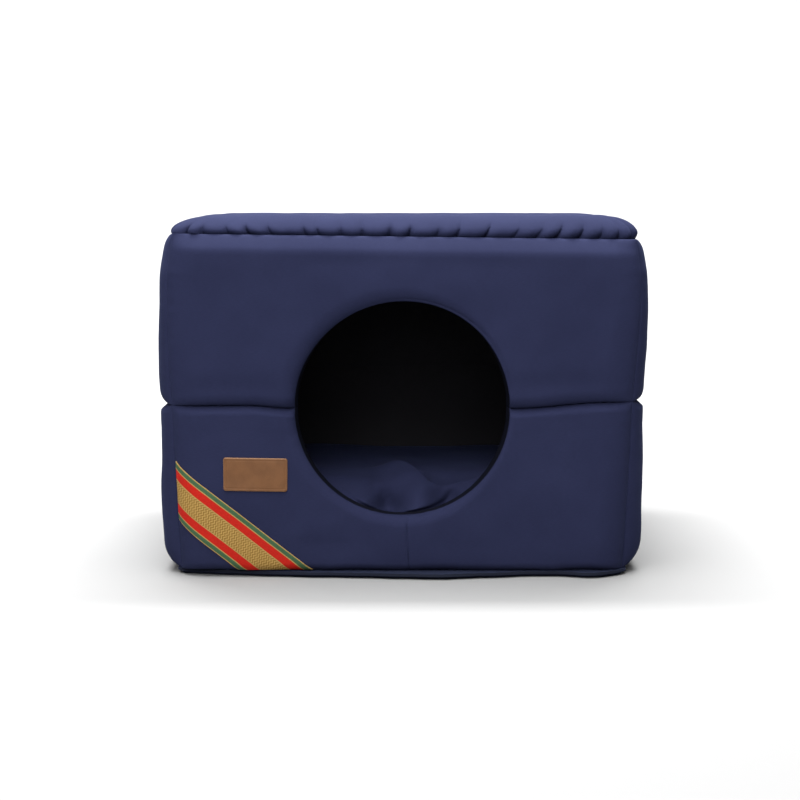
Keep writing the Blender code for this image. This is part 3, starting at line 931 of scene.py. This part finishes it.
def cushion_fold(spot):
    """The fold over the top, higher in front than behind, and the dents in the front edge,
    which swells out a little over the door's rim."""
    beside, share = beside_fold(spot.x, spot.y)
    upward = smooth((spot.z - 0.050) / 0.030)
    ridge = hump(beside, 0.0, 0.022 if beside > 0 else 0.007) - 0.5 * hump(beside, -0.020, 0.014)
    lift = FOLD_HEIGHT * ridge * smooth(share / 0.20) * smooth((1.05 - share) / 0.35) - TOP_DROP
    lift += 0.0040 * hump(spot.x, -0.060, 0.035) * hump(spot.y, -0.160, 0.025)
    inward = 0.0
    for x, z, wide, high, deep in DENTS:
        inward += deep * hump(spot.x, x, wide) * hump(spot.z, z, high)
    front = smooth((-spot.y - 0.145) / 0.040)
    outer = smooth((-spot.y - 0.165) / 0.030)
    pressed = 0.0100 * outer * hump(spot.z, 0.072, 0.018) * smooth((0.150 - abs(spot.x)) / 0.04)
    over = spot.z - rim_height(spot.x)
    pressed += 0.0130 * outer * smooth((over - 0.0005) / 0.0040) * (1 - smooth((spot.z - 0.078) / 0.016))
    return Vector((0, inward * front - pressed, lift * upward - 0.3 * inward * front))


def press_cushion(made):
    """Draws in the waist seam, lays soft folds over the top and keeps the foot flat."""
    bm = bmesh.new()
    bm.from_mesh(made.data)
    bmesh.ops.subdivide_edges(bm, edges=bm.edges, cuts=1, use_grid_fill=True)
    bmesh.ops.smooth_vert(bm, verts=bm.verts, factor=0.5, use_axis_x=True, use_axis_y=True, use_axis_z=True)
    for vert in bm.verts:
        spot = vert.co.copy()
        flat = Vector((spot.x, spot.y, 0))
        way = flat.normalized()
        around = math.atan2(spot.y, spot.x) * 0.24
        edge = smooth((max(abs(spot.x), abs(spot.y)) - 0.16) / 0.04)
        seam = hump(spot.z, CUSHION_SEAM, CUSHION_SEAM_WIDTH)
        off = abs(spot.z - CUSHION_SEAM)
        drawn = puckers(around, off, pitch=0.030, reach=0.016, depth=0.0030, seed=90.0)
        vert.co -= way * edge * (CUSHION_SEAM_DEPTH * seam + drawn)
        top = smooth((spot.z - 0.060) / 0.020)
        vert.co.z += top * 0.0022 * noise.noise((spot.x * 14, spot.y * 14, 2.0))
        vert.co += cushion_fold(spot)
        hangs_over = vert.co.z > rim_height(spot.x) + 0.0008
        vert.co.y = max(vert.co.y, CUSHION_FRONT_OVER_RIM if hangs_over else CUSHION_FRONT_INSIDE)
        vert.co.z = max(vert.co.z, CUSHION_FOOT)
    bmesh.ops.recalc_face_normals(bm, faces=bm.faces)
    bm.normal_update()
    layer = bm.loops.layers.uv.new("cloth")
    for face in bm.faces:
        for loop in face.loops:
            at, out = loop.vert.co, loop.vert.normal
            loop[layer].uv = (at.x - at.z * out.x, at.y - at.z * out.y)
    bm.to_mesh(made.data)
    bm.free()
    made.data.shade_smooth()


press_cushion(cushion)
stand(cushion, "cushion")


# Ribbon: a thin woven stripe sewn slantwise over the lower left panel, from the
# corner seam down to the base seam, its ends cut along both seams.
def on_panel(wall, across, height, lift):
    """A point this far off the panel's outer face."""
    step = 0.0015
    here = wall.point(across, height, False)
    right = wall.point(across + step, height, False) - wall.point(across - step, height, False)
    upward = wall.point(across, height + step, False) - wall.point(across, height - step, False)
    return here + right.cross(upward).normalized() * lift


def unrolled(stop, flat, point_at):
    """Places from stop to flat, each with where it would lie if the cloth ran on flat."""
    places = [flat + (stop - flat) * k / 120 for k in range(121)]
    run, found = flat, [(flat, flat)]
    for one, two in zip(places, places[1:]):
        run += math.copysign((point_at(two) - point_at(one)).length, stop - flat)
        found.append((run, two))
    return sorted(found)


def rolled(found, run):
    """The place on the panel for a place on the cloth laid flat."""
    for (one, start), (two, end) in zip(found, found[1:]):
        if one <= run <= two:
            return start + (end - start) * (run - one) / (two - one)
    return found[0][1] if run < found[0][0] else run


RIBBON_WIDTH = 0.0475
RIBBON_START = Vector((-0.2172, 0.0751))
RIBBON_WAY = Vector((1, -0.775)).normalized()
RIBBON_LIFT = 0.0005
RIBBON_TOP = 0.0014
RIBBON_LOOSE = 0.00045
CORNER_GAP = 0.0022
FLOOR_GAP = 0.0028
ribbon_acrosses = unrolled(CORNER_GAP - CORNER, -0.17, lambda x: front_left.point(x, 0.09, False))
ribbon_heights = unrolled(BASE_TOP + FLOOR_GAP, 0.07, lambda z: front_left.point(-0.16, z, False))

# Where one stripe gives way to the next, outwards from the middle, and the colour of each.
GOLD_DARK = (0.21, 0.115, 0.024, 1)
GOLD_LIGHT = (0.37, 0.235, 0.072, 1)
STRIPES = (
    # starts, is whole from, colour
    (0.0088, 0.0091, (0.34, 0.22, 0.072, 1)),
    (0.0097, 0.0100, (0.41, 0.013, 0.007, 1)),
    (0.0177, 0.0180, (0.34, 0.22, 0.072, 1)),
    (0.0187, 0.0190, (0.044, 0.095, 0.045, 1)),
    (0.0228, 0.0231, (0.34, 0.22, 0.072, 1)),
)
RIB_PITCH = 0.00045
CHEVRON_PITCH = 0.0030
CHEVRON_RUN = 0.0021


def striped(name):
    """Stripes across the ribbon, woven over a fine rib. The UV map is in metres along and across."""
    made, shader = plain(name, (0.5, 0.3, 0.1), 0.65)
    shader.inputs["Specular IOR Level"].default_value = 0.1
    start = Value(made.node_tree)
    place = start.node("UVMap", uv_map="cloth")
    along_it = start.node("SeparateXYZ", [place], out=0)
    across = start.node("SeparateXYZ", [place], out=1)
    side = across.math("ABSOLUTE", across)
    rib = (along_it * (math.pi / RIB_PITCH)).sine()
    zigzag = start.math("PINGPONG", across + 0.05, CHEVRON_RUN)
    chevron = (along_it * (2 * math.pi / CHEVRON_PITCH) + zigzag * (2 * math.pi / CHEVRON_PITCH)).sine()
    twill = chevron.between(-0.35, 0.35)
    colour = twill.mix(GOLD_DARK, GOLD_LIGHT)
    for begins, whole, thread in STRIPES:
        colour = side.between(begins, whole).mix(colour, thread)
    shade = rib * 0.10 + place.noise(scale=500.0) * 0.35 + 0.76
    shaded = start.node("Mix", {0: 1.0, 6: colour, 7: shade}, out=2, data_type="RGBA", blend_type="MULTIPLY")
    shaded.feeds(shader, "Base Color")
    height = rib * 0.5 + twill * side.between(0.0085, 0.0089).mix((1, 1, 1, 1), (0, 0, 0, 1))
    start.node("Bump", {"Strength": 0.7, "Distance": 0.00015, "Height": height}).feeds(shader, "Normal")
    return made


def ribbon_place(u, v, inside):
    line = RIBBON_START + Vector((-RIBBON_WAY.y, RIBBON_WAY.x)) * ((v - 0.5) * RIBBON_WIDTH)
    back = (ribbon_acrosses[0][0] - line.x) / RIBBON_WAY.x
    ahead = (ribbon_heights[0][0] - line.y) / RIBBON_WAY.y
    share = u - 0.35 * math.sin(2 * math.pi * u) / (2 * math.pi)
    run = back + (ahead - back) * share
    flat = line + RIBBON_WAY * run
    across, height = rolled(ribbon_acrosses, flat.x), rolled(ribbon_heights, flat.y)
    edge = smooth((0.5 - abs(v - 0.5)) * RIBBON_WIDTH / 0.003)
    loose = RIBBON_LOOSE * edge * (0.5 + noise.noise((run * 28, v * 2, 3.0)))
    lift = RIBBON_LIFT if inside else RIBBON_TOP + max(loose, 0.0)
    return on_panel(front_left, across, height, lift), (run, (v - 0.5) * RIBBON_WIDTH)


# Laid flat it is a strip RIBBON_WIDTH wide; both ends are cut slantwise, so less than the whole strip is
# left of it.
ribbon = finished("ribbon", pad(120, 26, ribbon_place), striped("woven stripe"), 50)
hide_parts("ribbon")
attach(ribbon, "root")


# Patch: a small piece of tan leather with a plain line pressed in along its edge,
# sewn on beside the door. It is left bare.
PATCH_SIZE = (0.0660, 0.0340)
PATCH_CENTRE = Vector((-0.1497, 0.1064))
PATCH_TURN = math.radians(-0.8)
PATCH_LIFT = 0.0004
PATCH_THICKNESS = 0.0018
PATCH_CORNER = 0.0025
PATCH_EDGE_ROLL = 0.0011
PATCH_STEPS = 0.004
PRESSED_LINE_INSET = 0.0026
PRESSED_LINE_WIDTH = 0.00035
PRESSED_LINE_DEPTH = 0.0003
RUBBED_EDGE = 0.0008


def leather(name):
    """Smooth leather with fine pores; its edge is rubbed lighter by an attribute."""
    made, shader = plain(name, (0.205, 0.10, 0.050), 0.5)
    shader.inputs["Specular IOR Level"].default_value = 0.3
    start = Value(made.node_tree)
    place = start.node("UVMap", uv_map="cloth")
    grain = start.node("TexVoronoi", {"Vector": place, "Scale": 1400.0})
    cloudy = place.noise(scale=60.0, detail=4.0)
    rubbed = start.node("Attribute", attribute_name="rubbed", out=2)
    colour = cloudy.between(0.3, 0.7).mix((0.104, 0.041, 0.0115, 1), (0.130, 0.053, 0.0165, 1))
    rubbed.mix(colour, (0.25, 0.130, 0.062, 1)).feeds(shader, "Base Color")
    (0.42 + grain * 0.25).feeds(shader, "Roughness")
    height = grain * 0.6 + cloudy * 0.5
    start.node("Bump", {"Strength": 0.6, "Distance": 0.00012, "Height": height}).feeds(shader, "Normal")
    return made


def patch_place(u, v, inside):
    wide, high = PATCH_SIZE
    across = along(u, wide, PATCH_STEPS, PATCH_STEPS) - wide / 2
    upward = along(v, high, PATCH_STEPS, PATCH_STEPS) - high / 2
    past_x, past_y = abs(across) - (wide / 2 - PATCH_CORNER), abs(upward) - (high / 2 - PATCH_CORNER)
    inset = min(wide / 2 - abs(across), high / 2 - abs(upward))
    if past_x > 0 and past_y > 0:
        out = max(past_x, past_y)
        share = out / math.hypot(past_x, past_y)
        across = math.copysign(wide / 2 - PATCH_CORNER + past_x * share, across)
        upward = math.copysign(high / 2 - PATCH_CORNER + past_y * share, upward)
    thick = PATCH_THICKNESS * (0.45 + 0.55 * roll(inset, PATCH_EDGE_ROLL))
    thick -= PRESSED_LINE_DEPTH * hump(inset, PRESSED_LINE_INSET, PRESSED_LINE_WIDTH)
    spot = PATCH_CENTRE + Matrix.Rotation(PATCH_TURN, 2) @ Vector((across, upward))
    lift = PATCH_LIFT if inside else PATCH_LIFT + thick
    return on_panel(front_left, spot.x, spot.y, lift), (across, upward)


patch = finished("patch", pad(100, 60, patch_place), leather("tan leather"), 50)
rubbed = patch.data.attributes.new("rubbed", "FLOAT", "CORNER")
for loop, uv in zip(patch.data.loops, patch.data.uv_layers["cloth"].data):
    inset = min(PATCH_SIZE[0] / 2 - abs(uv.uv.x), PATCH_SIZE[1] / 2 - abs(uv.uv.y))
    rubbed.data[loop.index].value = max(1 - inset / RUBBED_EDGE, 0.0)
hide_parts("patch")
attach(patch, "root")
